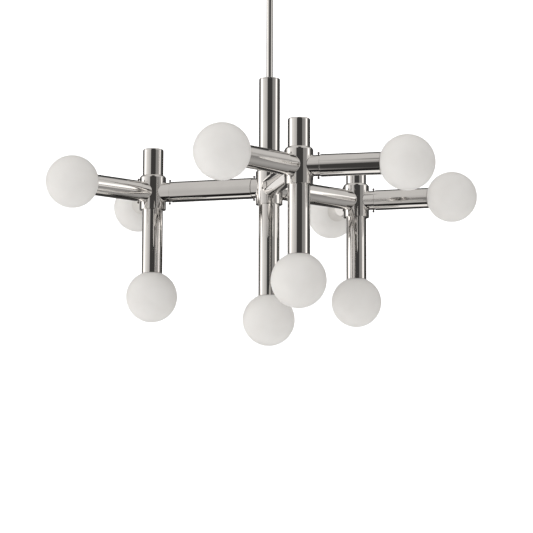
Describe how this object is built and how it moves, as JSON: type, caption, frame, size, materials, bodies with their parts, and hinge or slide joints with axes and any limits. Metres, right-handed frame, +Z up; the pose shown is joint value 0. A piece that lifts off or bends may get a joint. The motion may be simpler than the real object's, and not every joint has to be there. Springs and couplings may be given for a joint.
{
  "type": "multi arm chandelier",
  "caption": "Ceiling chandelier of thick polished tubes: level arms branch from a centre hub to satellite hubs, and round opal globe lamps close every free tube end.",
  "frame": {"origin": "middle of the ceiling bracket's top face, which lies on the ceiling", "axes": "+Z up into the ceiling, along the stem; -Y towards the front satellite hub; +X to the right seen from the front"},
  "size_m": [1.0672, 0.9569, 0.9925],
  "materials": {
    "polished_nickel": "polished nickel plate, mirror bright, slightly warm",
    "opal_glass": "matt opal white glass",
    "lamp_cap_metal": "nickel-plated thin brass screw shell",
    "lampholder_ceramic": "unglazed white ceramic",
    "zinc_plated_steel": "zinc plated, dull",
    "terminal_plastic": "white nylon"
  },
  "bodies": {
    "root": {"ceiling_bracket": "zinc_plated_steel", "terminal_block": "terminal_plastic", "canopy": "polished_nickel", "canopy_screw_left": "polished_nickel", "canopy_screw_right": "polished_nickel"},
    "swivel": {"swivel_ball": "polished_nickel", "stem_nut": "zinc_plated_steel"},
    "fixture": {"stem_rod": "polished_nickel", "centre_top_cap": "polished_nickel", "centre_upper_tube": "polished_nickel", "centre_hub": "polished_nickel", "centre_lower_tube": "polished_nickel", "inner_arm_front": "polished_nickel", "hub_front": "polished_nickel", "stub_front": "polished_nickel", "lower_tube_front": "polished_nickel", "outer_arm_front_left": "polished_nickel", "outer_arm_front_right": "polished_nickel", "inner_arm_right": "polished_nickel", "hub_right": "polished_nickel", "stub_right": "polished_nickel", "lower_tube_right": "polished_nickel", "outer_arm_right_outer": "polished_nickel", "outer_arm_right_back": "polished_nickel", "inner_arm_left": "polished_nickel", "hub_left": "polished_nickel", "stub_left": "polished_nickel", "lower_tube_left": "polished_nickel", "outer_arm_left_back": "polished_nickel", "outer_arm_left_outer": "polished_nickel", "lampholder_front_left": "lampholder_ceramic", "lampholder_front_right": "lampholder_ceramic", "lampholder_front_lower": "lampholder_ceramic", "lampholder_right_outer": "lampholder_ceramic", "lampholder_right_back": "lampholder_ceramic", "lampholder_right_lower": "lampholder_ceramic", "lampholder_left_back": "lampholder_ceramic", "lampholder_left_outer": "lampholder_ceramic", "lampholder_left_lower": "lampholder_ceramic", "lampholder_centre_lower": "lampholder_ceramic"},
    "lamp_front_left": {"globe_front_left": "opal_glass", "lamp_cap_front_left": "lamp_cap_metal"},
    "lamp_front_right": {"globe_front_right": "opal_glass", "lamp_cap_front_right": "lamp_cap_metal"},
    "lamp_front_lower": {"globe_front_lower": "opal_glass", "lamp_cap_front_lower": "lamp_cap_metal"},
    "lamp_right_outer": {"globe_right_outer": "opal_glass", "lamp_cap_right_outer": "lamp_cap_metal"},
    "lamp_right_back": {"globe_right_back": "opal_glass", "lamp_cap_right_back": "lamp_cap_metal"},
    "lamp_right_lower": {"globe_right_lower": "opal_glass", "lamp_cap_right_lower": "lamp_cap_metal"},
    "lamp_left_back": {"globe_left_back": "opal_glass", "lamp_cap_left_back": "lamp_cap_metal"},
    "lamp_left_outer": {"globe_left_outer": "opal_glass", "lamp_cap_left_outer": "lamp_cap_metal"},
    "lamp_left_lower": {"globe_left_lower": "opal_glass", "lamp_cap_left_lower": "lamp_cap_metal"},
    "lamp_centre_lower": {"globe_centre_lower": "opal_glass", "lamp_cap_centre_lower": "lamp_cap_metal"}
  },
  "joints": [
    {"name": "swivel_tilt", "type": "hinge", "parent": "root", "child": "swivel", "pos_m": [0, 0, -0.0296], "axis": [1, 0, 0], "range_deg": [-20, 20]},
    {"name": "stem_turn", "type": "hinge", "parent": "swivel", "child": "fixture", "pos_m": [0, 0, -0.0296], "axis": [0, 0, 1], "range_deg": [-170, 170]},
    {"name": "unscrew_front_left", "type": "slide", "parent": "fixture", "child": "lamp_front_left", "axis": [-0.829, -0.5592, 0], "range_m": [0, 0.025]},
    {"name": "unscrew_front_right", "type": "slide", "parent": "fixture", "child": "lamp_front_right", "axis": [0.8988, -0.4384, 0], "range_m": [0, 0.025]},
    {"name": "unscrew_front_lower", "type": "slide", "parent": "fixture", "child": "lamp_front_lower", "axis": [0, 0, -1], "range_m": [0, 0.025]},
    {"name": "unscrew_right_outer", "type": "slide", "parent": "fixture", "child": "lamp_right_outer", "axis": [0.866, -0.5, 0], "range_m": [0, 0.025]},
    {"name": "unscrew_right_back", "type": "slide", "parent": "fixture", "child": "lamp_right_back", "axis": [0, 1, 0], "range_m": [0, 0.025]},
    {"name": "unscrew_right_lower", "type": "slide", "parent": "fixture", "child": "lamp_right_lower", "axis": [0, 0, -1], "range_m": [0, 0.025]},
    {"name": "unscrew_left_back", "type": "slide", "parent": "fixture", "child": "lamp_left_back", "axis": [0, 1, 0], "range_m": [0, 0.025]},
    {"name": "unscrew_left_outer", "type": "slide", "parent": "fixture", "child": "lamp_left_outer", "axis": [-0.866, -0.5, 0], "range_m": [0, 0.025]},
    {"name": "unscrew_left_lower", "type": "slide", "parent": "fixture", "child": "lamp_left_lower", "axis": [0, 0, -1], "range_m": [0, 0.025]},
    {"name": "unscrew_centre_lower", "type": "slide", "parent": "fixture", "child": "lamp_centre_lower", "axis": [0, 0, -1], "range_m": [0, 0.025]}
  ]
}
